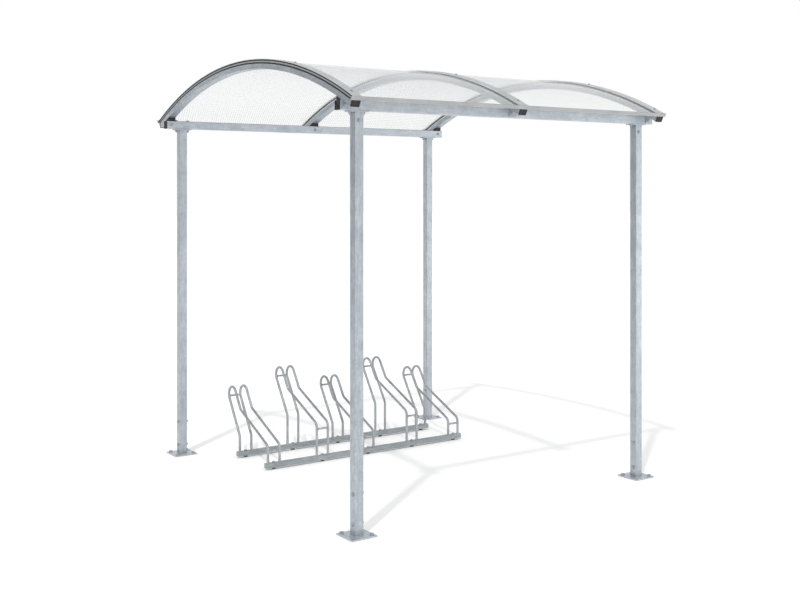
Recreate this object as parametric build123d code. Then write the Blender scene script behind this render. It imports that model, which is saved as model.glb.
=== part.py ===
from build123d import *
import math
import os

# Bike shelter with an arched clear roof and a wheel rack. Millimetres, +Z up.
# Origin on the ground, midway between the four posts. +X along the beams, +Y to the rear.
# The frame is the same on all sides. Only the rack stands nearer to the rear.

# clearances
seat_gap = 0.3
sleeve_gap = 0.5

# posts and their feet
post_pitch_x = 2000.0
post_pitch_y = 2116.0
post_side = 50.0
post_wall = 3.0
post_corner = 3.0
post_length = 2112.0
foot_side = 150.0
foot_thick = 7.0
foot_hole_pitch = 110.0
foot_hole_d = 14.0
foot_stub_height = 260.0
stub_wall = 3.0
stub_corner = 2.0

# heads that carry the beams
head_length = 110.0
head_width = 56.0
head_thick = 6.0
head_stub_height = 100.0

# beams
beam_side = 50.0
beam_wall = 3.0
beam_corner = 3.0
beam_end_margin = 10.0
beam_cap_thick = 2.0
beam_plug_depth = 15.0

# arches
arch_outset = 80.0
arch_width = 50.0
arch_depth = 30.0
arch_wall = 2.5
arch_corner = 2.0
arch_inner_radius = 2600.0
arch_overhang = 86.0
arch_cap_thick = 3.0
arch_cap_rim = 1.5
arch_plug_depth = 18.0
lug_thick = 5.0
lug_rise = 5.0

# roof covering, from the arch outwards
lower_gasket_thick = 7.0
sheet_thick = 8.0
upper_gasket_thick = 7.0
gasket_width = 48.0
cover_thick = 3.5
cover_width = 50.0
sheet_joint = 10.0
sheet_side_inset = 2.0
eaves_overhang = 4.0
eaves_web_thick = 2.5
eaves_lip_thick = 2.0
eaves_lip_depth = 12.0
eaves_end_margin = 10.0
screw_count = 5
screw_end_margin = 65.0
screw_washer_d = 16.0
screw_washer_thick = 2.2
screw_head_flats = 8.0
screw_head_height = 5.0

# rack
rail_side = 30.0
rail_wall = 2.5
rail_corner = 2.0
rail_lift = 10.0
spacer_d = 24.0
rail_end_margin = 18.0
rail_pitch = 380.0
rail_centre_y = 547.0
rail_hole_d = 13.0
place_count = 5
place_pitch = 350.0
hoop_pitch = 82.0
rod_d = 16.0
bar_d = 12.0
low_rear_leg = 98.0
low_front_leg = 106.0
high_rise = 95.0
hoop_lean = 33.5
hoop_rise = 268.0
hoop_turn_radius = 52.0
hoop_return = 127.0
bend_radius = 40.0
lower_bar_drop = 33.0
upper_bar_turn = 18.0

# derived widths, lengths and heights
arch_pitch = post_pitch_x / 2 + arch_outset
arches_width = 2 * arch_pitch + arch_width
beam_overall = arches_width + 2 * beam_end_margin
eaves_length = arches_width + 2 * eaves_end_margin
rail_length = (place_count - 1) * place_pitch + hoop_pitch + 2 * rail_end_margin
post_top = foot_thick + post_length
beam_bottom = post_top + head_thick
beam_top = beam_bottom + beam_side
beam_y = post_pitch_y / 2
beam_outer_y = beam_y + beam_side / 2
stub_side = post_side - 2 * post_wall - 2 * sleeve_gap
rail_middle = rail_lift + rail_side / 2
rail_top = rail_lift + rail_side

# derived radii of the roof, all about one axis along X
arch_outer_radius = arch_inner_radius + arch_depth
arch_mid_radius = arch_inner_radius + arch_depth / 2
roof_axis_z = beam_top + seat_gap - math.sqrt(arch_inner_radius**2 - beam_outer_y**2)
lower_gasket_r = arch_outer_radius + seat_gap
sheet_r = lower_gasket_r + lower_gasket_thick + seat_gap
upper_gasket_r = sheet_r + sheet_thick + seat_gap
cover_r = upper_gasket_r + upper_gasket_thick + seat_gap
cover_top_r = cover_r + cover_thick
eaves_lip_r = sheet_r - seat_gap - eaves_lip_thick
cap_low_r = arch_inner_radius - arch_cap_rim
cap_high_r = eaves_lip_r - seat_gap

# derived angles, measured from the top of the roof
arch_end = math.asin((beam_outer_y + arch_overhang) / arch_mid_radius)
sheet_end = arch_end + eaves_overhang / sheet_r
web_start = sheet_end + seat_gap / sheet_r
web_end = web_start + eaves_web_thick / sheet_r
lip_start = web_start - eaves_lip_depth / sheet_r
lower_gasket_end = lip_start - seat_gap / sheet_r
last_screw = sheet_end - screw_end_margin / cover_top_r

sides_x = {"left": -1, "right": 1}
sides_y = {"front": -1, "rear": 1}
arch_places = {"left": -1, "middle": 0, "right": 1}


def block(x_size, y_size, z_size, x, y, z_low):
    """A box centred on x and y that stands on z_low."""
    return Pos(x, y, z_low + z_size / 2) * Box(x_size, y_size, z_size)


def bar_section(width, depth, corner):
    return RectangleRounded(width, depth, max(corner, 0.2))


def tube_section(width, depth, wall, corner):
    outside = bar_section(width, depth, corner)
    return outside - bar_section(width - 2 * wall, depth - 2 * wall, corner - wall)


def rounded_bar(side, corner, length):
    """An upright square bar with rounded long edges, that stands on z = 0."""
    return extrude(bar_section(side, side, corner), amount=length)


def square_tube(side, wall, corner, length):
    """An upright square tube with rounded long edges, that stands on z = 0."""
    return extrude(tube_section(side, side, wall, corner), amount=length)


def roof_point(radius, angle):
    """The point at a radius and angle of the roof, in the plane x = 0."""
    return Vector(0, radius * math.sin(angle), roof_axis_z + radius * math.cos(angle))


def roof_band(r_low, r_high, a_low, a_high, x_low, x_high):
    """A curved bar between two radii, two angles and two places along X."""
    a_mid = (a_low + a_high) / 2
    outer = ThreePointArc(
        roof_point(r_high, a_low), roof_point(r_high, a_mid), roof_point(r_high, a_high)
    )
    inner = ThreePointArc(
        roof_point(r_low, a_high), roof_point(r_low, a_mid), roof_point(r_low, a_low)
    )
    side_a = Line(roof_point(r_high, a_high), roof_point(r_low, a_high))
    side_b = Line(roof_point(r_low, a_low), roof_point(r_high, a_low))
    face = Face(Wire([outer, side_a, inner, side_b]))
    return Pos(x_low, 0, 0) * extrude(face, amount=x_high - x_low, dir=(1, 0, 0))


def bend_along_roof(section, radius, a_low, a_high, x):
    """Runs a section along the roof at a radius, between two angles, centred on x."""
    top = Plane(origin=(x, 0, roof_axis_z + radius), x_dir=(1, 0, 0), z_dir=(0, -1, 0))
    roof_axis = Axis((0, 0, roof_axis_z), (-1, 0, 0))
    bar = revolve(top * section, axis=roof_axis, revolution_arc=math.degrees(a_high - a_low))
    return bar.rotate(roof_axis, math.degrees(a_low))


def save(shape, name):
    export_step(shape, f"parts/{name}.step")


def make_foot(x, y):
    """Plate on the ground with an upright tube that the post slides over."""
    plate = block(foot_side, foot_side, foot_thick, x, y, 0)
    for sx in (-1, 1):
        for sy in (-1, 1):
            hole_x = x + sx * foot_hole_pitch / 2
            hole_y = y + sy * foot_hole_pitch / 2
            plate -= Pos(hole_x, hole_y, foot_thick / 2) * Cylinder(foot_hole_d / 2, 2 * foot_thick)
    stub = square_tube(stub_side, stub_wall, stub_corner, foot_stub_height)
    return plate + Pos(x, y, foot_thick) * stub


def make_post(x, y):
    return Pos(x, y, foot_thick) * square_tube(post_side, post_wall, post_corner, post_length)


def make_head(x, y):
    """Flange under the beam with a tube that goes down into the post."""
    flange = block(head_length, head_width, head_thick, x, y, post_top)
    stub = square_tube(stub_side, stub_wall, stub_corner, head_stub_height)
    return flange + Pos(x, y, post_top - head_stub_height) * stub


def lay_along_x(shape, x_start, y, z):
    """Lays an upright shape on its side, so that it starts at x_start and runs to +X."""
    return Pos(x_start, y, z) * Rot(0, 90, 0) * shape


def make_beam(y):
    length = beam_overall - 2 * beam_cap_thick
    beam = square_tube(beam_side, beam_wall, beam_corner, length)
    return lay_along_x(beam, -length / 2, y, beam_bottom + beam_side / 2)


def make_beam_cap(side, y):
    """End plate as large as the beam, with a plug inside it."""
    plug = beam_wall + seat_gap
    plug_side = beam_side - 2 * plug
    plate = rounded_bar(beam_side, beam_corner, beam_cap_thick)
    core = rounded_bar(plug_side, beam_corner - plug, beam_cap_thick + beam_plug_depth)
    middle_z = beam_bottom + beam_side / 2
    plate_x, core_x = (
        (-beam_overall / 2, -beam_overall / 2)
        if side < 0
        else (
            beam_overall / 2 - beam_cap_thick,
            beam_overall / 2 - beam_cap_thick - beam_plug_depth,
        )
    )
    return lay_along_x(plate, plate_x, y, middle_z) + lay_along_x(core, core_x, y, middle_z)


def make_lug(x, side):
    """Plate under the arch that lies on the outer face of the beam."""
    lug_y = side * (beam_outer_y + seat_gap + lug_thick / 2)
    plate = block(arch_width, lug_thick, beam_side, x, lug_y, beam_bottom + lug_rise)
    reach = 2 * beam_side / arch_inner_radius
    angle = side * math.asin(beam_outer_y / arch_inner_radius)
    under_arch = roof_band(
        arch_inner_radius - 2 * beam_side,
        arch_inner_radius + arch_wall / 2,
        angle - reach,
        angle + reach,
        x - arch_width,
        x + arch_width,
    )
    return plate & under_arch


def make_arch(x):
    section = tube_section(arch_width, arch_depth, arch_wall, arch_corner)
    arch = bend_along_roof(section, arch_mid_radius, -arch_end, arch_end, x)
    return arch + make_lug(x, -1) + make_lug(x, 1)


def make_arch_cap(x, side):
    """Cap with a plug in the arch and a plate that also covers the end of the lower gasket."""
    plug = arch_wall + seat_gap
    cap_end = arch_end + arch_cap_thick / arch_mid_radius
    plug_end = arch_end - arch_plug_depth / arch_mid_radius
    plate_width = arch_width + 2 * arch_cap_rim
    plate_section = bar_section(plate_width, cap_high_r - cap_low_r, arch_corner + arch_cap_rim)
    core_section = bar_section(arch_width - 2 * plug, arch_depth - 2 * plug, arch_corner - plug)
    plate_span = sorted((side * arch_end, side * cap_end))
    core_span = sorted((side * plug_end, side * cap_end))
    plate = bend_along_roof(plate_section, (cap_low_r + cap_high_r) / 2, *plate_span, x)
    return plate + bend_along_roof(core_section, arch_mid_radius, *core_span, x)


def make_gasket(x, r_low, thick, end):
    half = gasket_width / 2
    return roof_band(r_low, r_low + thick, -end, end, x - half, x + half)


def make_sheet(side):
    middle_edge = side * sheet_joint / 2
    outer_edge = side * (arch_pitch + arch_width / 2 - sheet_side_inset)
    x_low, x_high = sorted((middle_edge, outer_edge))
    return roof_band(sheet_r, sheet_r + sheet_thick, -sheet_end, sheet_end, x_low, x_high)


def make_cover(x):
    """Flat clamping strip on top of the upper gasket."""
    half = cover_width / 2
    return roof_band(cover_r, cover_top_r, -sheet_end, sheet_end, x - half, x + half)


def make_eaves_strip(side):
    """Angle that closes the lower edge of both sheets, with a lip under them."""
    half = eaves_length / 2
    web = roof_band(eaves_lip_r, cover_top_r, *sorted((side * web_start, side * web_end)), -half, half)
    lip = roof_band(
        eaves_lip_r,
        eaves_lip_r + eaves_lip_thick,
        *sorted((side * lip_start, side * web_end)),
        -half,
        half,
    )
    return web + lip


def make_cover_screw(x, angle):
    """Hexagon head on a round washer, that stands on a cover strip."""
    head_r = screw_head_flats / math.sqrt(3)
    washer = extrude(Circle(screw_washer_d / 2), amount=screw_washer_thick)
    head = extrude(RegularPolygon(head_r, 6), amount=screw_washer_thick + screw_head_height)
    screw = Pos(x, 0, roof_axis_z + cover_top_r + seat_gap) * (washer + head)
    return screw.rotate(Axis((0, 0, roof_axis_z), (-1, 0, 0)), math.degrees(angle))


def place_x(place):
    return (place - (place_count - 1) / 2) * place_pitch


def rail_y(side):
    return rail_centre_y + side * rail_pitch / 2


def make_rail(side):
    """Closed square tube with one fixing hole at each place."""
    y = rail_y(side)
    inside = rail_side - 2 * rail_wall
    hollow_length = rail_length - 2 * rail_wall
    outside = rounded_bar(rail_side, rail_corner, rail_length)
    hollow = rounded_bar(inside, rail_corner - rail_wall, hollow_length)
    rail = lay_along_x(outside, -rail_length / 2, y, rail_middle)
    rail -= lay_along_x(hollow, -hollow_length / 2, y, rail_middle)
    for place in range(place_count):
        rail -= Pos(place_x(place), y, rail_middle) * Cylinder(rail_hole_d / 2, 2 * rail_side)
    return rail


def make_spacer(place, side):
    """Ring between a rail and the ground, round the fixing hole."""
    ring = Circle(spacer_d / 2) - Circle(rail_hole_d / 2)
    return Pos(place_x(place), rail_y(side), 0) * extrude(ring, amount=rail_lift)


def bent_path(points, radii):
    """A path through the points with each inner corner rounded by its radius."""
    edges = []
    start = points[0]
    for before, corner, after, radius in zip(points, points[1:], points[2:], radii):
        into = (corner - before).normalized()
        out = (after - corner).normalized()
        turn = math.acos(into.dot(out))
        setback = radius * math.tan(turn / 2)
        arc_start = corner - into * setback
        arc_end = corner + out * setback
        to_middle = (out - into).normalized()
        middle = corner + to_middle * (radius / math.cos(turn / 2) - radius)
        if (arc_start - start).length > 0.001:
            edges.append(Line(start, arc_start))
        edges.append(ThreePointArc(arc_start, middle, arc_end))
        start = arc_end
    edges.append(Line(start, points[-1]))
    return Wire(edges)


def make_holder(place):
    """Two hoops side by side on the rails, joined by two bars. The wheel goes between them."""
    lift = high_rise if place % 2 else 0.0
    rear_y = rail_y(1)
    front_y = rail_y(-1)
    rear_bend = Vector(0, rear_y, rail_top + low_rear_leg + lift)
    front_bend = Vector(0, front_y, rail_top + low_front_leg + lift)
    lean = math.radians(hoop_lean)
    along = Vector(0, math.sin(lean), math.cos(lean))
    across = Vector(0, -math.cos(lean), math.sin(lean))
    corner_a = rear_bend + along * (hoop_rise + hoop_turn_radius)
    corner_b = corner_a + across * (2 * hoop_turn_radius)
    return_bend = corner_b - along * (hoop_turn_radius + hoop_return)
    points = [
        Vector(0, rear_y, rail_top),
        rear_bend,
        corner_a,
        corner_b,
        return_bend,
        front_bend,
        Vector(0, front_y, rail_top),
    ]
    radii = [bend_radius, hoop_turn_radius, hoop_turn_radius, bend_radius, bend_radius]
    path = bent_path(points, radii)
    section = Plane(origin=points[0], z_dir=(0, 0, 1)) * Circle(rod_d / 2)
    hoop = sweep(section, path=path)
    x = place_x(place)
    holder = Pos(x - hoop_pitch / 2, 0, 0) * hoop + Pos(x + hoop_pitch / 2, 0, 0) * hoop
    turn = math.radians(upper_bar_turn)
    turn_centre = rear_bend + along * hoop_rise + across * hoop_turn_radius
    upper = turn_centre + (along * math.sin(turn) - across * math.cos(turn)) * hoop_turn_radius
    lower = front_bend - Vector(0, 0, lower_bar_drop)
    for bar in (upper, lower):
        holder += Pos(x, bar.Y, bar.Z) * Rot(0, 90, 0) * Cylinder(bar_d / 2, hoop_pitch)
    return holder


os.makedirs("parts", exist_ok=True)

for y_name, sy in sides_y.items():
    row_y = sy * beam_y
    for x_name, sx in sides_x.items():
        column_x = sx * post_pitch_x / 2
        save(make_foot(column_x, row_y), f"base_plate_{y_name}_{x_name}")
        save(make_post(column_x, row_y), f"post_{y_name}_{x_name}")
        save(make_head(column_x, row_y), f"post_head_{y_name}_{x_name}")
    save(make_beam(row_y), f"beam_{y_name}")
    caps = [make_beam_cap(sx, row_y) for sx in sides_x.values()]
    save(Compound(children=caps), f"beam_caps_{y_name}")
    save(make_eaves_strip(sy), f"eaves_strip_{y_name}")

for name, step in arch_places.items():
    arch_x = step * arch_pitch
    save(make_arch(arch_x), f"arch_{name}")
    caps = [make_arch_cap(arch_x, sy) for sy in sides_y.values()]
    save(Compound(children=caps), f"arch_caps_{name}")
    save(make_gasket(arch_x, lower_gasket_r, lower_gasket_thick, lower_gasket_end), f"lower_gasket_{name}")
    save(make_gasket(arch_x, upper_gasket_r, upper_gasket_thick, sheet_end), f"upper_gasket_{name}")
    save(make_cover(arch_x), f"cover_strip_{name}")

for name, side in sides_x.items():
    save(make_sheet(side), f"roof_sheet_{name}")

screws = []
for step in arch_places.values():
    for place in range(screw_count):
        screw_angle = last_screw * (2 * place / (screw_count - 1) - 1)
        screws.append(make_cover_screw(step * arch_pitch, screw_angle))
save(Compound(children=screws), "cover_screws")

for name, side in sides_y.items():
    save(make_rail(side), f"rack_rail_{name}")

spacers = [make_spacer(place, side) for place in range(place_count) for side in sides_y.values()]
save(Compound(children=spacers), "rack_spacers")

for place in range(place_count):
    save(make_holder(place), f"wheel_holder_{place + 1}")
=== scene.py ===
import math

import bmesh
import bpy
from mathutils import Matrix, Vector


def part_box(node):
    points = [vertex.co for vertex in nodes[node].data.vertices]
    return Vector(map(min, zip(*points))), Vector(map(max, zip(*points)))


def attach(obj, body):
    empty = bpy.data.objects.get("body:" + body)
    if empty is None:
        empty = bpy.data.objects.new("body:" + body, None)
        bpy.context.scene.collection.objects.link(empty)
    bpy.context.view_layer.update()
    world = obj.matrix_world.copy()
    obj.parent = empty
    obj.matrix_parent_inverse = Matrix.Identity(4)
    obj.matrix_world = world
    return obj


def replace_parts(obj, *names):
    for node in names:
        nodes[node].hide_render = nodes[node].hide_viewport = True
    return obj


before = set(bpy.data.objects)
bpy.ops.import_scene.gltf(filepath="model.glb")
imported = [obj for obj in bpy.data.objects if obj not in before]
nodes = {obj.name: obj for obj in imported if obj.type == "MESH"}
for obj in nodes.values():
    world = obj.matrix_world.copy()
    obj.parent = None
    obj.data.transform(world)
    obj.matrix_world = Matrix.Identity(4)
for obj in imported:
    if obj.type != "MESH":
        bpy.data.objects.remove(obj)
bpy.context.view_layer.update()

# Bike shelter: galvanised frame, arched clear roof, wheel rack.
# Metres, +X along the beams, +Y to the rear.
scene = bpy.context.scene

MM = 0.001
COLUMNS = ("left", "right")
ROWS = ("front", "rear")
ARCHES = ("left", "middle", "right")
CORNERS = [f"{row}_{column}" for row in ROWS for column in COLUMNS]
HOLDERS = range(1, 6)

ABOVE = Vector((0, 0, 1))
LEFT = Vector((-1, 0, 0))
FRONT = Vector((0, -1, 0))
OUTWARDS = {"front": FRONT, "rear": -FRONT}

# The roof bends about one axis along X. Its radii are the frame's own, in metres.
ARCH_INNER_R = 2.600
ARCH_MID_R = 2.615
ARCH_OUTER_R = 2.630
ARCH_REACH = 1.169
ARCH_END = math.asin(ARCH_REACH / ARCH_MID_R)
SHEET_R = 2.6376
SHEET_THICK = 8 * MM
ROOF_AXIS_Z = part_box("arch_middle")[1].z - ARCH_OUTER_R
COVER_TOP_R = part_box("cover_strip_middle")[1].z - ROOF_AXIS_Z
SHEET_END_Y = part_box("cover_strip_middle")[1].y


# ---------------------------------------------------------------- camera

def add_camera():
    """A level camera at eye height, in front and to the left, shifted so that uprights stay upright."""
    data = bpy.data.cameras.new("camera")
    data.sensor_width = 36
    data.lens = 50.215
    data.shift_y = -0.13926
    camera = bpy.data.objects.new("camera", data)
    camera.location = (-4.022, -5.756, 1.736)
    camera.rotation_euler = (math.radians(90), 0, math.radians(-34.972))
    scene.collection.objects.link(camera)
    scene.camera = camera


# ---------------------------------------------------------------- colours and nodes

def colour(hex_code, alpha=1.0):
    """An sRGB hex colour as the linear values that a shader takes."""
    values = []
    for start in (1, 3, 5):
        value = int(hex_code[start:start + 2], 16) / 255
        values.append(value / 12.92 if value <= 0.04045 else ((value + 0.055) / 1.055) ** 2.4)
    return (*values, alpha)


def add(tree, kind, settings=None, **inputs):
    """Adds a node, with its settings, and its inputs by name as values or as links."""
    node = tree.nodes.new(kind)
    for name, value in (settings or {}).items():
        setattr(node, name, value)
    for name, value in inputs.items():
        key = int(name[1:]) if name[0] == "i" and name[1:].isdigit() else name.replace("_", " ")
        socket = node.inputs[key]
        if isinstance(value, bpy.types.NodeSocket):
            tree.links.new(value, socket)
        else:
            socket.default_value = value
    return node


def ramp(tree, factor, stops):
    """A colour ramp from (place, hex colour) stops."""
    node = add(tree, "ShaderNodeValToRGB", Fac=factor)
    elements = node.color_ramp.elements
    while len(elements) < len(stops):
        elements.new(1.0)
    for element, (place, hex_code) in zip(elements, stops):
        element.position = place
        element.color = colour(hex_code)
    return node.outputs["Color"]


def spread(tree, value, low, high, from_low=0.0, from_high=1.0):
    """Spreads a value over a new range."""
    node = add(
        tree, "ShaderNodeMapRange", Value=value,
        From_Min=from_low, From_Max=from_high, To_Min=low, To_Max=high,
    )
    return node.outputs["Result"]


def empty_material(name):
    """A material without nodes, and its node tree."""
    material = bpy.data.materials.new(name)
    material.use_nodes = True
    material.node_tree.nodes.clear()
    return material, material.node_tree


def new_material(name):
    """A material with a Principled shader and the object's own coordinates."""
    material, tree = empty_material(name)
    shader = add(tree, "ShaderNodeBsdfPrincipled")
    output = add(tree, "ShaderNodeOutputMaterial", Surface=shader.outputs["BSDF"])
    output.is_active_output = True
    place = add(tree, "ShaderNodeTexCoord").outputs["Object"]
    return material, tree, shader, place


def link_all(tree, shader, **inputs):
    """Sets or links inputs of a shader that exists already."""
    for name, value in inputs.items():
        socket = shader.inputs[name.replace("_", " ")]
        if isinstance(value, bpy.types.NodeSocket):
            tree.links.new(value, socket)
        else:
            socket.default_value = value


def drawn_out(tree, place, direction, stretch):
    """Coordinates that draw a pattern out along one direction, X, Y or Z."""
    scale = tuple(1 / stretch if axis == direction else 1.0 for axis in "XYZ")
    return add(tree, "ShaderNodeMapping", Vector=place, Scale=scale).outputs["Vector"]


# ---------------------------------------------------------------- materials

def galvanised_steel(name, direction, tones=("#a9b0b7", "#bcc3ca", "#d0d6db"), metallic=0.8):
    """Hot-dip galvanised mild steel: soft clouds of duller zinc about 90 mm wide, runs drawn out
    the way the zinc drained, and faint zinc crystals of about 12 mm. Satin, not bright."""
    material, tree, shader, place = new_material(name)
    drained = drawn_out(tree, place, direction, 7.0)
    bend = add(tree, "ShaderNodeTexNoise", Vector=place, Scale=1 / 0.03, Detail=2.0)
    bent = add(
        tree, "ShaderNodeVectorMath", {"operation": "MULTIPLY_ADD"},
        i0=bend.outputs["Color"], i1=(0.008, 0.008, 0.008), i2=place,
    ).outputs["Vector"]
    crystals = add(tree, "ShaderNodeTexVoronoi", Vector=bent, Scale=1 / 0.012)
    crystal = add(tree, "ShaderNodeSeparateColor", Color=crystals.outputs["Color"])
    clouds = add(tree, "ShaderNodeTexNoise", Vector=place, Scale=1 / 0.09, Detail=3.0, Roughness=0.6)
    runs = add(tree, "ShaderNodeTexNoise", Vector=drained, Scale=1 / 0.011, Detail=3.0, Roughness=0.55)
    cloud_level = spread(tree, clouds.outputs["Fac"], -0.2, 0.2, 0.3, 0.7)
    run_level = spread(tree, runs.outputs["Fac"], -0.25, 0.25, 0.3, 0.7)
    crystal_level = spread(tree, crystal.outputs["Red"], 0.38, 0.62)
    both = add(tree, "ShaderNodeMath", {"operation": "ADD"}, i0=cloud_level, i1=run_level)
    level = add(
        tree, "ShaderNodeMath", {"operation": "ADD", "use_clamp": True},
        i0=both.outputs[0], i1=crystal_level,
    )
    tone = ramp(tree, level.outputs[0], [(0.0, tones[0]), (0.5, tones[1]), (1.0, tones[2])])
    grain = add(tree, "ShaderNodeTexNoise", Vector=place, Scale=1 / 0.0025, Detail=2.0)
    relief = add(
        tree, "ShaderNodeMath", {"operation": "ADD"},
        i0=grain.outputs["Fac"], i1=runs.outputs["Fac"],
    )
    bump = add(tree, "ShaderNodeBump", Strength=0.35, Distance=0.0005, Height=relief.outputs[0])
    link_all(
        tree, shader, Base_Color=tone, Metallic=metallic,
        Roughness=spread(tree, crystal.outputs["Green"], 0.36, 0.5), Normal=bump.outputs["Normal"],
    )
    return material


def zinc_plated_steel():
    """Zinc-plated and passivated bolts: even, a little greyer and smoother than the frame,
    with a faint cloud of about 6 mm."""
    material, tree, shader, place = new_material("zinc_plated_steel")
    cloud = add(tree, "ShaderNodeTexNoise", Vector=place, Scale=1 / 0.006, Detail=2.0)
    tone = ramp(tree, cloud.outputs["Fac"], [(0.3, "#979ca0"), (0.7, "#bec2c4")])
    link_all(
        tree, shader, Base_Color=tone, Metallic=0.6,
        Roughness=spread(tree, cloud.outputs["Fac"], 0.32, 0.46),
    )
    return material


def mill_aluminium(name, direction, metallic, tones):
    """Extruded aluminium with a mill finish: pale, satin, with fine die lines about 1 mm apart
    that run the length of the strip, drawn 3 mm apart so that they show."""
    material, tree, shader, place = new_material(name)
    drawn = drawn_out(tree, place, direction, 60.0)
    lines = add(tree, "ShaderNodeTexNoise", Vector=drawn, Scale=1 / 0.003, Detail=3.0, Roughness=0.6)
    cloud = add(tree, "ShaderNodeTexNoise", Vector=place, Scale=1 / 0.12, Detail=2.0)
    mixed = add(
        tree, "ShaderNodeMath", {"operation": "ADD"},
        i0=lines.outputs["Fac"], i1=cloud.outputs["Fac"],
    )
    level = spread(tree, mixed.outputs[0], 0.0, 1.0, 0.6, 1.4)
    tone = ramp(tree, level, [(0.0, tones[0]), (0.5, tones[1]), (1.0, tones[2])])
    bump = add(tree, "ShaderNodeBump", Strength=0.3, Distance=0.0002, Height=lines.outputs["Fac"])
    link_all(
        tree, shader, Base_Color=tone, Metallic=metallic,
        Roughness=spread(tree, lines.outputs["Fac"], 0.34, 0.48), Normal=bump.outputs["Normal"],
    )
    return material


SHEET_TONES = ("#dfe1e3", "#f5f6f6")
# how opaque the sheet is between the diamonds and on them, and what a flat angle adds
SHEET_VEIL = (0.04, 0.25)
SHEET_GLARE = 0.65


def embossed_polycarbonate():
    """Clear solid polycarbonate, rolled with small long diamonds, 16 mm by 48 mm. Each diamond is a
    little milky, so that the sheet looks like a thin pale veil, which thickens at a flat angle."""
    material, tree, shader, place = new_material("embossed_polycarbonate")
    squared = add(tree, "ShaderNodeMapping", Vector=place, Scale=(1, 1 / 3, 1)).outputs["Vector"]
    turned_grid = add(
        tree, "ShaderNodeMapping", Vector=squared, Rotation=(0, 0, math.radians(45))
    ).outputs["Vector"]
    # a wave texture repeats every pi / 10 divided by its scale
    scale = math.pi / 10 / (16 * MM / math.sqrt(2))
    rows = [
        add(tree, "ShaderNodeTexWave", {"bands_direction": axis}, Vector=turned_grid, Scale=scale)
        for axis in "XY"
    ]
    diamonds = add(
        tree, "ShaderNodeMath", {"operation": "MULTIPLY"},
        i0=rows[0].outputs["Fac"], i1=rows[1].outputs["Fac"],
    ).outputs[0]
    tone = ramp(tree, diamonds, [(0.1, SHEET_TONES[0]), (0.7, SHEET_TONES[1])])
    facing_away = add(tree, "ShaderNodeLayerWeight", Blend=0.5).outputs["Facing"]
    rise = add(tree, "ShaderNodeMath", {"operation": "POWER"}, i0=facing_away, i1=5.0).outputs[0]
    veil = spread(tree, diamonds, *SHEET_VEIL)
    alpha = add(
        tree, "ShaderNodeMath", {"operation": "MULTIPLY_ADD", "use_clamp": True},
        i0=rise, i1=SHEET_GLARE, i2=veil,
    )
    bump = add(tree, "ShaderNodeBump", Strength=0.2, Distance=0.0008, Height=diamonds)
    link_all(
        tree, shader, Base_Color=tone, Metallic=0.0, Roughness=0.4, IOR=1.585,
        Alpha=alpha.outputs[0], Normal=bump.outputs["Normal"],
    )
    return material


def sawn_polycarbonate_edge():
    """The sawn edge of the sheet: rough, so it scatters light and looks grey."""
    material, tree, shader, place = new_material("sawn_polycarbonate_edge")
    saw = add(tree, "ShaderNodeTexNoise", Vector=place, Scale=1 / 0.004, Detail=2.0)
    tone = ramp(tree, saw.outputs["Fac"], [(0.3, "#81878a"), (0.7, "#a1a6a8")])
    link_all(tree, shader, Base_Color=tone, Roughness=0.55, IOR=1.585)
    return material


def epdm_rubber():
    """Extruded EPDM: soft black with a dull sheen and a faint bloom about 20 mm wide."""
    material, tree, shader, place = new_material("epdm_rubber")
    bloom = add(tree, "ShaderNodeTexNoise", Vector=place, Scale=1 / 0.02, Detail=3.0)
    tone = ramp(tree, bloom.outputs["Fac"], [(0.35, "#17181a"), (0.7, "#2a2b2d")])
    link_all(tree, shader, Base_Color=tone, Roughness=spread(tree, bloom.outputs["Fac"], 0.6, 0.75))
    return material


def polyethylene(name, tones):
    """Moulded polyethylene: even and satin, with a fine eroded grain of about 1 mm."""
    material, tree, shader, place = new_material(name)
    grain = add(tree, "ShaderNodeTexNoise", Vector=place, Scale=1 / 0.001, Detail=1.0)
    dust = add(tree, "ShaderNodeTexNoise", Vector=place, Scale=1 / 0.015, Detail=3.0)
    tone = ramp(tree, dust.outputs["Fac"], [(0.35, tones[0]), (0.75, tones[1])])
    bump = add(tree, "ShaderNodeBump", Strength=0.25, Distance=0.0002, Height=grain.outputs["Fac"])
    link_all(
        tree, shader, Base_Color=tone, Roughness=spread(tree, grain.outputs["Fac"], 0.42, 0.55),
        IOR=1.5, Normal=bump.outputs["Normal"],
    )
    return material


# ---------------------------------------------------------------- making pieces

def piece(name, mesh, materials):
    """Makes a finished mesh a piece of the object, with smooth faces between its sharp edges."""
    for material in materials:
        mesh.materials.append(material)
    mesh.polygons.foreach_set("use_smooth", [True] * len(mesh.polygons))
    mesh.set_sharp_from_angle(angle=math.radians(35))
    made = bpy.data.objects.new(name, mesh)
    scene.collection.objects.link(made)
    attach(made, "root")
    return made


def closed(bm, name):
    """Merges a bmesh's doubles, points its faces outwards and returns it as a mesh."""
    bmesh.ops.remove_doubles(bm, verts=bm.verts, dist=1e-6)
    bmesh.ops.recalc_face_normals(bm, faces=bm.faces)
    mesh = bpy.data.meshes.new(name)
    bm.to_mesh(mesh)
    bm.free()
    return mesh


def turned(name, profile, steps):
    """A turned shape about Z from (radius, height) points in mm. It closes itself."""
    bm = bmesh.new()
    points = [bm.verts.new((r * MM, 0, z * MM)) for r, z in profile]
    edges = [bm.edges.new(pair) for pair in zip(points, points[1:])]
    if profile[0][0] > 0:
        edges.append(bm.edges.new((points[-1], points[0])))
    bmesh.ops.spin(
        bm, geom=points + edges, cent=(0, 0, 0), axis=(0, 0, 1),
        angle=math.tau, steps=steps, use_merge=True,
    )
    return closed(bm, name)


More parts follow.
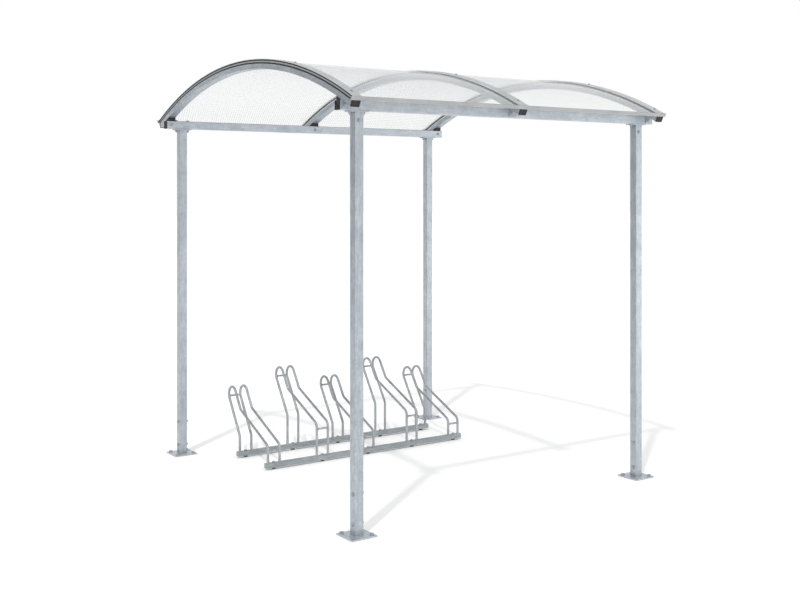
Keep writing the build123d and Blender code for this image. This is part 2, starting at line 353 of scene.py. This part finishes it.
def hexagon(name, across_flats, height, chamfer):
    """A hexagon head or nut that stands on z = 0, with its upper edges chamfered, in mm."""
    bm = bmesh.new()
    radius = across_flats / math.sqrt(3) * MM
    bmesh.ops.create_cone(
        bm, cap_ends=True, segments=6, radius1=radius, radius2=radius, depth=height * MM,
        matrix=Matrix.Translation((0, 0, height / 2 * MM)),
    )
    upper = [e for e in bm.edges if all(v.co.z > height * 0.99 * MM for v in e.verts)]
    bmesh.ops.bevel(
        bm, geom=upper, offset=chamfer * MM, segments=2, affect="EDGES", profile=0.5, material=-1
    )
    return closed(bm, name)


def gathered(name, parts):
    """One mesh from several (mesh, place) pairs."""
    whole = bmesh.new()
    for mesh, place in parts:
        count = len(whole.verts)
        whole.from_mesh(mesh)
        whole.verts.ensure_lookup_table()
        bmesh.ops.transform(whole, matrix=place, verts=whole.verts[count:])
    mesh = bpy.data.meshes.new(name)
    whole.to_mesh(mesh)
    whole.free()
    return mesh


def facing(point, direction, turn=0.0):
    """The place of a fastener: its foot at a point, its Z axis along a direction, turned about it."""
    to_direction = Vector((0, 0, 1)).rotation_difference(Vector(direction)).to_matrix().to_4x4()
    return Matrix.Translation(point) @ to_direction @ Matrix.Rotation(math.radians(turn), 4, "Z")


def roof_place(x, y, radius):
    """A place on the roof above y, at a radius, with Z pointing straight out of the roof."""
    angle = math.asin(y / radius)
    out = Vector((0, math.sin(angle), math.cos(angle)))
    return facing(Vector((x, 0, ROOF_AXIS_Z)) + out * radius, out)


def centre(node):
    low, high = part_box(node)
    return (low + high) / 2


# the lugs under the arches stand this far out from the beams' outer faces
LUG_OUT = 5.3 * MM


def beam_faces(row):
    """Where a beam's outer and inner face lie along Y."""
    low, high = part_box(f"beam_{row}")
    return (low.y, high.y) if row == "front" else (high.y, low.y)


# ---------------------------------------------------------------- roof

def bent_strip(x_low, x_high, r_low, r_high, end_angle):
    """A strip between two places along X and two radii, bent over the whole roof."""
    bm = bmesh.new()
    corners = [
        bm.verts.new((x, -r * math.sin(end_angle), ROOF_AXIS_Z + r * math.cos(end_angle)))
        for x, r in ((x_low, r_low), (x_high, r_low), (x_high, r_high), (x_low, r_high))
    ]
    section = bm.faces.new(corners)
    bmesh.ops.spin(
        bm, geom=[section], cent=(0, 0, ROOF_AXIS_Z), axis=(-1, 0, 0),
        angle=2 * end_angle, steps=160,
    )
    bmesh.ops.remove_doubles(bm, verts=bm.verts, dist=1e-6)
    bmesh.ops.recalc_face_normals(bm, faces=bm.faces)
    return bm


def roof_sheet(side, clear, edge):
    """One sheet, bent in one smooth curve, with its sawn edges in a finish of their own."""
    name = f"roof_sheet_{side}"
    low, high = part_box(name)
    outer_r = SHEET_R + SHEET_THICK
    bm = bent_strip(low.x, high.x, SHEET_R, outer_r, math.asin(high.y / outer_r))
    for face in bm.faces:
        out = face.calc_center_median() - Vector((0, 0, ROOF_AXIS_Z))
        out.x = 0
        face.material_index = 0 if abs(face.normal.dot(out.normalized())) > 0.5 else 1
    mesh = bpy.data.meshes.new(name)
    bm.to_mesh(mesh)
    bm.free()
    made = piece(f"clear_sheet_{side}", mesh, [clear, edge])
    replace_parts(made, name)


# the lips stand between these two distances from the arch's middle line
LIP_FACES = (24 * MM, 25 * MM)
COVER_THICK = 3.5 * MM
LIP_LAP = 1.5 * MM
# how much of each gasket they leave in view
UPPER_LINE = 2 * MM
LOWER_LINE = 2.5 * MM


def roof_lips(arch, metal):
    """Thin lips beside the gaskets, wherever a sheet runs in: one down from the cover strip and one
    up from the arch. They leave a narrow line of each gasket in view."""
    arch_x = centre(f"arch_{arch}").x
    sheet_top = SHEET_R + SHEET_THICK
    upper_end = math.asin(SHEET_END_Y / COVER_TOP_R)
    lower_end = math.asin(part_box(f"lower_gasket_{arch}")[1].y / SHEET_R)
    lips = []
    for side in (-1, 1):
        if (arch, side) in (("left", -1), ("right", 1)):
            continue
        x_low, x_high = sorted(arch_x + side * face for face in LIP_FACES)
        for number, (r_low, r_high, end_angle) in enumerate((
            (sheet_top + UPPER_LINE, COVER_TOP_R - COVER_THICK, upper_end),
            (ARCH_OUTER_R - LIP_LAP, SHEET_R - LOWER_LINE, lower_end),
        )):
            bm = bent_strip(x_low, x_high, r_low, r_high, end_angle)
            lips.append((closed(bm, f"lip_{side}_{number}"), Matrix()))
    piece(f"roof_lips_{arch}", gathered("lips", lips), [metal])


def gap_shade_wedge(name, width, y_thin, y_thick, beam_top):
    """A black wedge that fills the gap between a beam's flat top and the bent arch on it: a pad whose
    black paints the deep shade of that gap.
    """
    bm = bmesh.new()
    steps = 6
    across = [y_thin + (y_thick - y_thin) * step / steps for step in range(steps + 1)]
    points = [
        bm.verts.new((-width / 2, y, ROOF_AXIS_Z + math.sqrt(ARCH_INNER_R**2 - y**2))) for y in across
    ]
    points += [bm.verts.new((-width / 2, y, beam_top)) for y in (y_thick, y_thin)]
    face = bm.faces.new(points)
    made = bmesh.ops.extrude_face_region(bm, geom=[face])["geom"]
    far_side = [item for item in made if isinstance(item, bmesh.types.BMVert)]
    bmesh.ops.translate(bm, vec=(width, 0, 0), verts=far_side)
    return closed(bm, name)


# ---------------------------------------------------------------- fasteners

# thicknesses of the washers, in mm
M10_WASHER = 2
M12_WASHER = 2.5
SCREW_WASHER = 2.2

# washers, hexagon heads and a nut, with their sizes in mm
washer_m12 = turned(
    "washer_m12", [(0, 0), (12, 0), (12, 1.9), (11.4, M12_WASHER), (0, M12_WASHER)], 32
)
washer_m10 = turned(
    "washer_m10", [(5.4, 0), (10, 0), (10, 1.5), (9.5, M10_WASHER), (5.4, M10_WASHER)], 32
)
head_m10 = hexagon("head_m10", 17, 6.4, 1.0)
nut_m10 = hexagon("nut_m10", 17, 8, 1.0)
head_m12 = hexagon("head_m12", 19, 7.5, 1.2)
screw_head = hexagon("screw_head", 8, 5, 0.6)
screw_washer = turned(
    "screw_washer", [(0, 0), (8, 0), (8, 1.2), (7, SCREW_WASHER), (0, SCREW_WASHER)], 24
)


def threaded(name, diameter, length, pitch):
    """A stud that stands on z = 0, with its thread as plain grooves."""
    outer = diameter / 2
    inner = outer - 0.6 * pitch
    profile = [(0, 0), (outer, 0)]
    z = length * 0.25
    while z < length - 1.5 * pitch:
        profile += [(outer, z), (inner, z + pitch / 2)]
        z += pitch
    profile += [(outer, z), (outer, length - 1), (outer - 1, length), (0, length)]
    return turned(name, profile, 12)


stud_m10 = threaded("stud_m10", 10, 16, 1.5)


def bolt_head(point, direction, turn=0.0):
    """A hexagon head on a washer."""
    step = Vector(direction) * M10_WASHER * MM
    return [(washer_m10, facing(point, direction)), (head_m10, facing(point + step, direction, turn))]


def nut_end(point, direction, turn=0.0):
    """The other end of the bolt: a nut on a washer, with the thread standing out."""
    step = Vector(direction) * M10_WASHER * MM
    return [
        (washer_m10, facing(point, direction)),
        (nut_m10, facing(point + step, direction, turn)),
        (stud_m10, facing(point, direction)),
    ]


# ---------------------------------------------------------------- caps, rack and welds

def end_cap(name, width, depth, thick, corner, plug, plug_shift=0):
    """A moulded cap that stands on z = 0: rounded edges, a sunk panel, and its plug below. Sizes in
    mm, the plug as (width, depth, length)."""
    bm = bmesh.new()
    bmesh.ops.create_cube(bm, size=MM)
    bmesh.ops.scale(bm, vec=(width, depth, thick), verts=bm.verts)
    bmesh.ops.translate(bm, vec=(0, 0, thick / 2 * MM), verts=bm.verts)
    upright = [e for e in bm.edges if abs(e.verts[0].co.z - e.verts[1].co.z) > thick / 2 * MM]
    bmesh.ops.bevel(
        bm, geom=upright, offset=corner * MM, segments=4, affect="EDGES", profile=0.5, material=-1
    )
    face = max(bm.faces, key=lambda f: f.calc_center_median().z)
    bmesh.ops.bevel(
        bm, geom=list(face.edges), offset=0.8 * MM, segments=3, affect="EDGES",
        profile=0.5, material=-1,
    )
    face = max(bm.faces, key=lambda f: f.calc_center_median().z)
    bmesh.ops.inset_region(bm, faces=[face], thickness=5 * MM)
    bmesh.ops.inset_region(bm, faces=[face], thickness=0.6 * MM, depth=-0.9 * MM)
    core = bmesh.ops.create_cube(bm, size=MM)["verts"]
    bmesh.ops.scale(bm, vec=plug, verts=core)
    bmesh.ops.translate(bm, vec=(0, plug_shift * MM, -plug[2] / 2 * MM), verts=core)
    return closed(bm, name)


# the wheel holders' own sizes, with the hoops' lean from upright
HALF_HOOPS = 41 * MM
ROD_R = 8 * MM
REAR_LEG = 98 * MM
FRONT_LEG = 106 * MM
HIGH_RISE = 95 * MM
HOOP_RISE = 268 * MM
HOOP_TURN_R = 52 * MM
LOWER_BAR_DROP = 33 * MM
UPPER_BAR_TURN = math.radians(18)
LEAN = math.radians(33.5)
UP_HOOP = Vector((0, math.sin(LEAN), math.cos(LEAN)))
ACROSS_HOOP = Vector((0, -math.cos(LEAN), math.sin(LEAN)))


def cross_bar(number, row, rail_top):
    """A point on a holder's cross-bar: the lower one at the front, the upper one at the rear."""
    lift = HIGH_RISE if number % 2 == 0 else 0
    rail_y = centre(f"rack_rail_{row}").y
    if row == "front":
        return Vector((0, rail_y, rail_top + FRONT_LEG + lift - LOWER_BAR_DROP))
    bend = Vector((0, rail_y, rail_top + REAR_LEG + lift))
    turn_centre = bend + UP_HOOP * HOOP_RISE + ACROSS_HOOP * HOOP_TURN_R
    to_bar = UP_HOOP * math.sin(UPPER_BAR_TURN) - ACROSS_HOOP * math.cos(UPPER_BAR_TURN)
    return turn_centre + to_bar * HOOP_TURN_R


# one drop of a weld bead, and the round beads at the feet of the hoops and at their cross-bars
drop_of_weld = bmesh.new()
bmesh.ops.create_uvsphere(drop_of_weld, u_segments=10, v_segments=6, radius=1)
drop_of_weld = closed(drop_of_weld, "drop_of_weld")
foot_weld = turned(
    "foot_weld", [(7.6, -0.3), (12.5, -0.3), (12.2, 1.2), (10.5, 3.2), (8.6, 5), (7.6, 5.2)], 20
)
bar_weld = turned("bar_weld", [(5.6, -1), (9, -1), (8.6, 1.2), (6.8, 2.8), (5.6, 3.2)], 16)


# ---------------------------------------------------------------- studio

FLOOR_TONE = 0.93
FLOOR_SEEN_TONE = 1.05
SKY_LEVEL = 0.84
SUN_LEVEL = 0.82


def plain_square(name, size):
    """A flat square about the origin, for the studio."""
    bm = bmesh.new()
    bmesh.ops.create_grid(bm, x_segments=1, y_segments=1, size=size)
    mesh = bpy.data.meshes.new(name)
    bm.to_mesh(mesh)
    bm.free()
    return mesh


def add_floor():
    """A white floor that keeps the shadow. It lights the object as plain white ground does, and
    what is seen or mirrored of it is a little whiter."""
    mesh = plain_square("floor", 60)
    floor = bpy.data.objects.new("floor", mesh)
    floor.location.z = -0.5 * MM
    scene.collection.objects.link(floor)
    material, tree = empty_material("white_floor")
    tint = spread(tree, seen_or_mirrored(tree), FLOOR_TONE, FLOOR_SEEN_TONE)
    tone = add(tree, "ShaderNodeCombineColor", Red=tint, Green=tint, Blue=tint)
    paint = add(tree, "ShaderNodeBsdfDiffuse", Color=tone.outputs["Color"])
    add(tree, "ShaderNodeOutputMaterial", Surface=paint.outputs["BSDF"])
    mesh.materials.append(material)


def seen_or_mirrored(tree):
    """1 for rays from the camera, from a mirror or through glass, and 0 for rays that light."""
    path = add(tree, "ShaderNodeLightPath")
    first = add(
        tree, "ShaderNodeMath", {"operation": "ADD"},
        i0=path.outputs["Is Camera Ray"], i1=path.outputs["Is Glossy Ray"],
    )
    second = add(
        tree, "ShaderNodeMath", {"operation": "ADD", "use_clamp": True},
        i0=first.outputs[0], i1=path.outputs["Is Transmission Ray"],
    )
    return second.outputs[0]


def add_sky():
    """An even white sky. What is seen or mirrored of it is plain white."""
    world = bpy.data.worlds.new("studio")
    scene.world = world
    world.use_nodes = True
    tree = world.node_tree
    tree.nodes.clear()
    strength = spread(tree, seen_or_mirrored(tree), SKY_LEVEL, 1.0)
    sky = add(tree, "ShaderNodeBackground", Color=(1, 1, 1, 1), Strength=strength)
    add(tree, "ShaderNodeOutputWorld", Surface=sky.outputs[0])


def add_sun():
    """A soft key light from the front left, 57 degrees up, as wide as a studio lamp looks."""
    data = bpy.data.lights.new("key", "SUN")
    data.energy = SUN_LEVEL
    data.angle = math.radians(2.0)
    lamp = bpy.data.objects.new("key", data)
    lamp.rotation_mode = "QUATERNION"
    lamp.rotation_quaternion = Vector((0, 0, -1)).rotation_difference(Vector((0.52, 0.396, -1)))
    scene.collection.objects.link(lamp)


def add_card(name, centre_point, normal, width, height, level):
    """A plain card, seen only in reflections: it shades polished faces and lights nothing."""
    mesh = plain_square(name, 0.5)
    mesh.transform(facing(centre_point, normal) @ Matrix.Diagonal((width, height, 1, 1)))
    card = bpy.data.objects.new(name, mesh)
    scene.collection.objects.link(card)
    card.visible_camera = False
    card.visible_shadow = False
    card.visible_diffuse = False
    material, tree = empty_material(name)
    glow = add(tree, "ShaderNodeEmission", Strength=level)
    add(tree, "ShaderNodeOutputMaterial", Surface=glow.outputs[0])
    mesh.materials.append(material)


# ---------------------------------------------------------------- the object

add_camera()

steel_posts = galvanised_steel("galvanised_steel_posts", "Z", ("#a3aab1", "#b5bcc3", "#c9cfd4"))
steel_beams = galvanised_steel("galvanised_steel_beams", "X")
steel_arches = galvanised_steel("galvanised_steel_arches", "Y", ("#9da4ab", "#b0b7be", "#c5cbd0"))
steel_plates = galvanised_steel("galvanised_steel_plates", "Y", metallic=0.6)
steel_rails = galvanised_steel("galvanised_steel_rails", "X", ("#8a9194", "#9ca3a6", "#b1b7ba"), 0.7)
steel_rods = galvanised_steel("galvanised_steel_rods", "Z", ("#92979a", "#abafb2", "#c6cacc"), 0.5)
bolt_steel = zinc_plated_steel()
cover_metal = mill_aluminium("mill_aluminium_covers", "Y", 0.3, ("#c0c4c6", "#d2d5d7", "#e0e2e4"))
eaves_metal = mill_aluminium("mill_aluminium_eaves", "X", 0.8, ("#9fa1a2", "#afb1b2", "#bdbfc0"))
clear_sheet = embossed_polycarbonate()
sheet_edge = sawn_polycarbonate_edge()
rubber = epdm_rubber()
black_plastic = polyethylene("black_polyethylene", ("#121315", "#26272a"))
grey_plastic = polyethylene("grey_polyethylene", ("#4d5052", "#63676a"))

finishes = {
    "base_plate": steel_plates,
    "post_head": steel_plates,
    "post": steel_posts,
    "beam_caps": black_plastic,
    "beam": steel_beams,
    "arch_caps": black_plastic,
    "arch": steel_arches,
    "lower_gasket": rubber,
    "upper_gasket": rubber,
    "cover_strip": cover_metal,
    "eaves_strip": eaves_metal,
    "cover_screws": bolt_steel,
    "roof_sheet": clear_sheet,
    "rack_rail": steel_rails,
    "rack_spacers": grey_plastic,
    "wheel_holder": steel_rods,
}
# a node takes the first kind that its name starts with, so post_head stands before post
for name, node in nodes.items():
    kind = next(k for k in finishes if name.startswith(k))
    for material_slot in node.material_slots:
        material_slot.material = finishes[kind]

for side in COLUMNS:
    roof_sheet(side, clear_sheet, sheet_edge)

# black wedges in the gaps between the beams and the arches: pads whose black paints the deep shade
# there
WEDGE_WIDTH = 48 * MM
WEDGE_SETBACK = 6 * MM
for arch in ARCHES:
    roof_lips(arch, cover_metal)
    wedges = []
    for row in ROWS:
        outer_y, inner_y = beam_faces(row)
        thin_y = outer_y - OUTWARDS[row].y * WEDGE_SETBACK
        beam_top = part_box(f"beam_{row}")[1].z
        wedge = gap_shade_wedge(f"wedge_{row}", WEDGE_WIDTH, thin_y, inner_y, beam_top)
        wedges.append((wedge, Matrix.Translation((centre(f"arch_{arch}").x, 0, 0))))
    piece(f"gap_shade_wedges_{arch}", gathered("wedges", wedges), [black_plastic])

# how far the anchors and beam bolts sit from a post's middle, the foot bolts above the ground, and
# the head bolts under the post's top
ANCHOR_REACH = 55 * MM
FOOT_BOLT_HEIGHTS = (60 * MM, 210 * MM)
HEAD_BOLT_DROP = 43 * MM
BEAM_BOLT_REACH = 40 * MM
for number, corner in enumerate(CORNERS):
    post_low, post_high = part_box(f"post_{corner}")
    middle = centre(f"post_{corner}")
    anchors = []
    for sx in (-1, 1):
        for sy in (-1, 1):
            on_plate = Vector((middle.x + sx * ANCHOR_REACH, middle.y + sy * ANCHOR_REACH, post_low.z))
            # each head has stopped at an angle of its own
            turn = 17 * sx + 31 * sy + 23 * number
            anchors += [
                (washer_m12, facing(on_plate, ABOVE)),
                (head_m12, facing(on_plate + ABOVE * M12_WASHER * MM, ABOVE, turn)),
            ]
    piece(f"floor_anchors_{corner}", gathered("anchors", anchors), [bolt_steel])

    bolts = []
    for height in FOOT_BOLT_HEIGHTS:
        for direction, face_x, end in ((LEFT, post_low.x, bolt_head), (-LEFT, post_high.x, nut_end)):
            bolts += end(Vector((face_x, middle.y, height)), direction, 12 + 40 * number)
    piece(f"foot_bolts_{corner}", gathered("foot_bolts", bolts), [bolt_steel])

    row = corner.split("_")[0]
    out = OUTWARDS[row]
    face_y = post_low.y if row == "front" else post_high.y
    bolts = bolt_head(Vector((middle.x, face_y, post_high.z - HEAD_BOLT_DROP)), out, 8 + 25 * number)
    piece(f"head_bolts_{corner}", gathered("head_bolts", bolts), [bolt_steel])

    beam_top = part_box(f"beam_{row}")[1].z
    flange_under = post_high.z
    bolts = []
    for sx in (-1, 1):
        x = middle.x + sx * BEAM_BOLT_REACH
        bolts += bolt_head(Vector((x, middle.y, beam_top)), ABOVE, 15 * sx)
        bolts += nut_end(Vector((x, middle.y, flange_under)), -ABOVE, 15 * sx)
    piece(f"beam_bolts_{corner}", gathered("beam_bolts", bolts), [bolt_steel])

# the bolts through the front lugs sit a little to the left of the arch's middle, the rear ones on it
LUG_BOLT_SHIFTS = {"front": 8 * MM, "rear": 0}
for arch in ARCHES:
    arch_x = centre(f"arch_{arch}").x
    bolts = []
    for row, out in OUTWARDS.items():
        outer_y, inner_y = beam_faces(row)
        height = centre(f"beam_{row}").z
        lug_face = outer_y + out.y * LUG_OUT
        bolt_x = arch_x - LUG_BOLT_SHIFTS[row]
        bolts += bolt_head(Vector((bolt_x, lug_face, height)), out, 20)
        bolts += nut_end(Vector((bolt_x, inner_y, height)), -out, 5)
    piece(f"arch_bolts_{arch}", gathered("arch_bolts", bolts), [bolt_steel])

# roofing screws on sealing washers, five to a cover strip
SCREW_MARGIN = 65 * MM
last_screw = math.asin(SHEET_END_Y / COVER_TOP_R) - SCREW_MARGIN / COVER_TOP_R
screws = []
for arch in ARCHES:
    arch_x = centre(f"cover_strip_{arch}").x
    for step in (-1, -0.5, 0, 0.5, 1):
        place = roof_place(arch_x, COVER_TOP_R * math.sin(step * last_screw), COVER_TOP_R)
        on_washer = place @ Matrix.Translation(ABOVE * SCREW_WASHER * MM)
        screws += [(screw_washer, place), (screw_head, on_washer)]
screws = piece("cover_screws", gathered("screws", screws), [bolt_steel])
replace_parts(screws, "cover_screws")

# the plate of an arch cap reaches from just under the arch up to the eaves strip
CAP_UNDER_ARCH = 1.5 * MM
CAP_UNDER_SHEET = 2.6 * MM
cap_low_r = ARCH_INNER_R - CAP_UNDER_ARCH
cap_high_r = SHEET_R - CAP_UNDER_SHEET
cap_mid_r = (cap_low_r + cap_high_r) / 2
beam_cap = end_cap("beam_cap", 50, 50, 2, 3, (42, 42, 15))
arch_cap = end_cap(
    "arch_cap", 53, (cap_high_r - cap_low_r) / MM, 3, 3.5, (45, 25, 18), (ARCH_MID_R - cap_mid_r) / MM
)
for row in ROWS:
    beam_low, beam_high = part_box(f"beam_{row}")
    middle = centre(f"beam_{row}")
    caps = [
        (beam_cap, facing(Vector((x, middle.y, middle.z)), direction))
        for x, direction in ((beam_low.x, LEFT), (beam_high.x, -LEFT))
    ]
    name = f"beam_caps_{row}"
    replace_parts(piece(name, gathered("caps", caps), [black_plastic]), name)
for arch in ARCHES:
    arch_x = centre(f"arch_{arch}").x
    caps = []
    for side in (-1, 1):
        out = Vector((0, side * math.sin(ARCH_END), math.cos(ARCH_END)))
        end_way = Vector((0, side * math.cos(ARCH_END), -math.sin(ARCH_END)))
        axes = Matrix((LEFT * side, out, end_way)).transposed().to_4x4()
        end_point = Vector((arch_x, 0, ROOF_AXIS_Z)) + out * cap_mid_r
        caps.append((arch_cap, Matrix.Translation(end_point) @ axes))
    name = f"arch_caps_{arch}"
    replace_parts(piece(name, gathered("caps", caps), [black_plastic]), name)

# weld beads: along the lugs under the arches, then on the rack's rails and hoops
WELD_DROPS = range(-7, 8)
WELD_STEP = 3 * MM
WELD_SIZE = Matrix.Diagonal((2.6 * MM, 3.2 * MM, 3.0 * MM, 1))
for arch in ARCHES:
    arch_x = centre(f"arch_{arch}").x
    beads = []
    for row in ROWS:
        face_y = beam_faces(row)[0] + OUTWARDS[row].y * LUG_OUT
        height = ROOF_AXIS_Z + math.sqrt(ARCH_INNER_R**2 - face_y**2)
        for step in WELD_DROPS:
            x = arch_x + step * WELD_STEP
            beads.append((drop_of_weld, Matrix.Translation((x, face_y, height)) @ WELD_SIZE))
    piece(f"lug_welds_{arch}", gathered("welds", beads), [steel_arches])

for row in ROWS:
    rail_y = centre(f"rack_rail_{row}").y
    rail_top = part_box(f"rack_rail_{row}")[1].z
    bolts = []
    beads = []
    for number in HOLDERS:
        holder_x = centre(f"wheel_holder_{number}").x
        bolts += bolt_head(Vector((holder_x, rail_y, rail_top)), ABOVE, 21 * number)
        bar = cross_bar(number, row, rail_top)
        for side in (-1, 1):
            foot = Vector((holder_x + side * HALF_HOOPS, rail_y, rail_top))
            beads.append((foot_weld, facing(foot, ABOVE)))
            bar_end = bar + Vector((holder_x + side * (HALF_HOOPS - ROD_R), 0, 0))
            beads.append((bar_weld, facing(bar_end, LEFT * side)))
    piece(f"rail_bolts_{row}", gathered("rail_bolts", bolts), [bolt_steel])
    piece(f"rack_welds_{row}", gathered("welds", beads), [steel_rods])

add_floor()
add_sky()
add_sun()
add_card("overhead_card", Vector((0, 0, 7)), Vector((0, 0, -1)), 16, 16, 0.3)
add_card("left_card", Vector((-9, 5, 2)), Vector((1, -0.45, 0)), 11, 9, 0.1)
add_card("front_card", Vector((0.6, -9, 2)), Vector((0, 1, 0)), 6, 6, 0.85)
add_card("right_card", Vector((4.8, -4.3, 0.9)), Vector((-0.8, 0.6, 0)), 2.2, 1.8, 2.4)
scene.view_settings.view_transform = "Standard"
